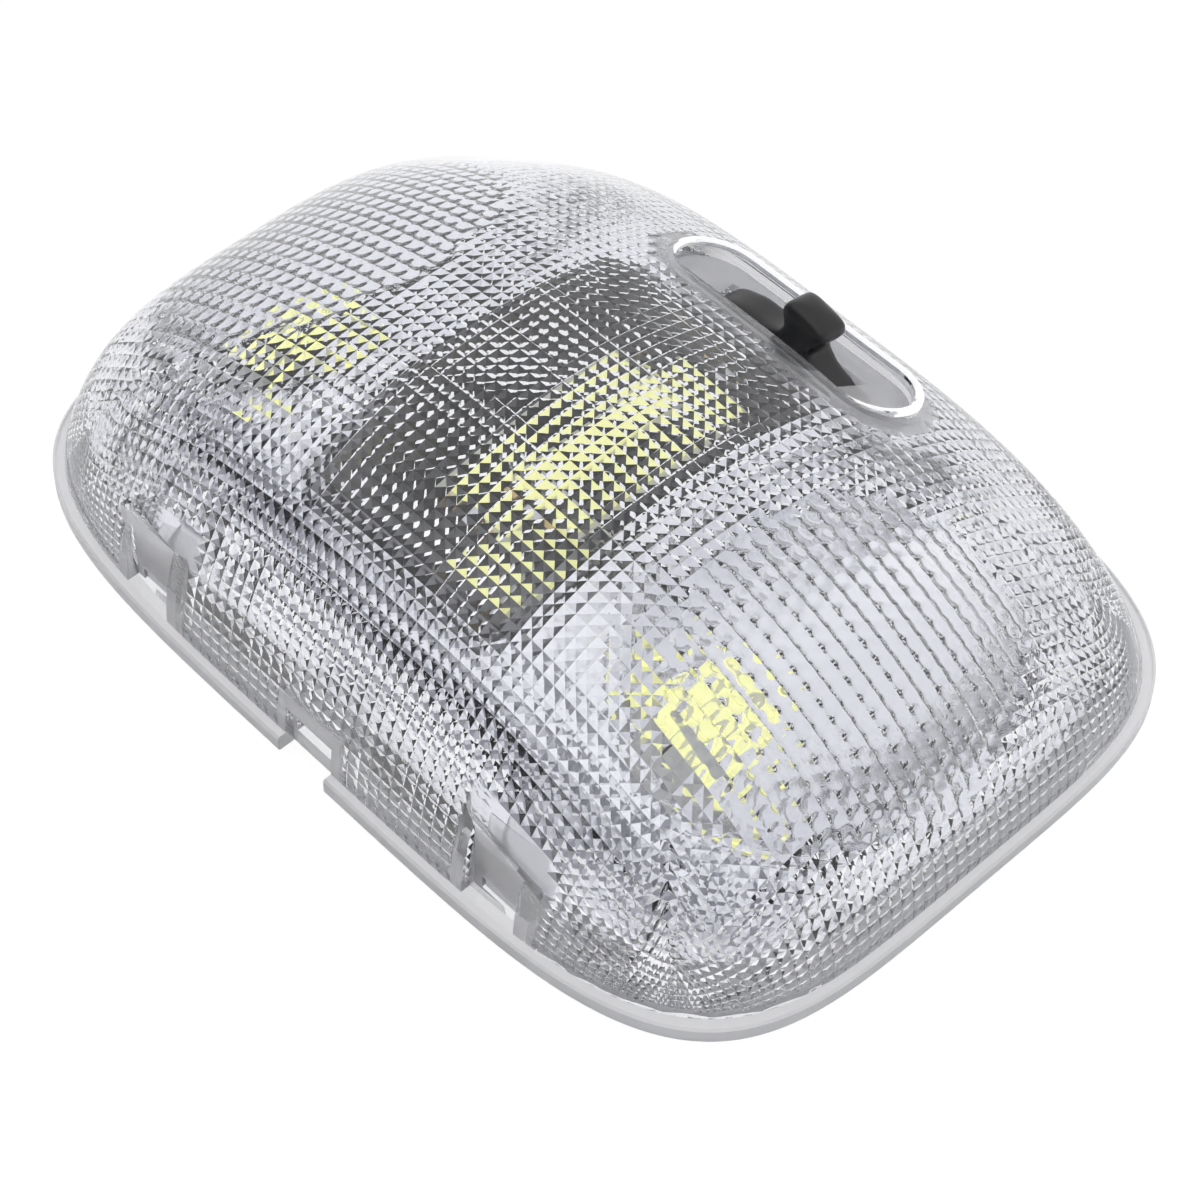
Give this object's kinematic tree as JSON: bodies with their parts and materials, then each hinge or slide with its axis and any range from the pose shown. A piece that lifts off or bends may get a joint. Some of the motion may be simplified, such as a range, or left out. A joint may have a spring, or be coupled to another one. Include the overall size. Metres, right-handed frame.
{
  "type": "car dome light",
  "caption": "Domed interior roof lamp: clear prismatic lens, metallised reflector with a bowl at each end, dark centre chamber, LED lamps and a finger lever switch.",
  "frame": {"origin": "centre of the bounding box at its bottom, on the face that lies against the roof", "axes": "+X along the lamp, +Y from the window edge towards the switch edge, +Z out of the roof face through the lens"},
  "size_m": [0.16, 0.115, 0.045],
  "materials": {
    "clear_polycarbonate": "clear, glossy, prisms moulded on the inner face",
    "base_plastic": "pale grey, fine moulded texture",
    "metallised_plastic": "vacuum metallised, mirror bright",
    "dark_plastic": "dark grey, semi gloss",
    "black_screw": "black oxide",
    "lamp_board": "white solder mask",
    "phosphor": "yellow phosphor in clear resin",
    "nickel_plate": "nickel plated",
    "contact_brass": "bright spring brass",
    "white_plastic": "white, satin",
    "black_plastic": "black, satin",
    "spring_steel": "plain steel"
  },
  "bodies": {
    "housing": {"lens": "clear_polycarbonate", "base_housing": "base_plastic", "reflector": "metallised_plastic", "centre_tray": "dark_plastic", "tray_screws": "black_screw", "centre_lamp_board": "lamp_board", "centre_glow_layer": "phosphor", "centre_end_caps": "nickel_plate", "front_clip": "contact_brass", "back_clip": "contact_brass", "left_socket": "white_plastic", "right_socket": "white_plastic", "left_lamp_head": "lamp_board", "right_lamp_head": "lamp_board", "left_lamp_chips": "phosphor", "right_lamp_chips": "phosphor", "switch_pivot_pin": "spring_steel", "switch_bracket": "black_plastic", "detent_spring": "spring_steel", "switch_contacts": "contact_brass", "supply_strip": "contact_brass", "return_strip": "contact_brass", "ground_strip": "contact_brass", "door_strip": "contact_brass", "connector_pins": "contact_brass"},
    "lever": {"switch_lever": "black_plastic", "switch_wiper": "contact_brass"}
  },
  "joints": [
    {"name": "switch_rock", "type": "hinge", "parent": "housing", "child": "lever", "pos_m": [0.0055, 0.03005, 0.0122], "axis": [0, 0.9781, -0.2079], "range_deg": [-20, 0]}
  ]
}
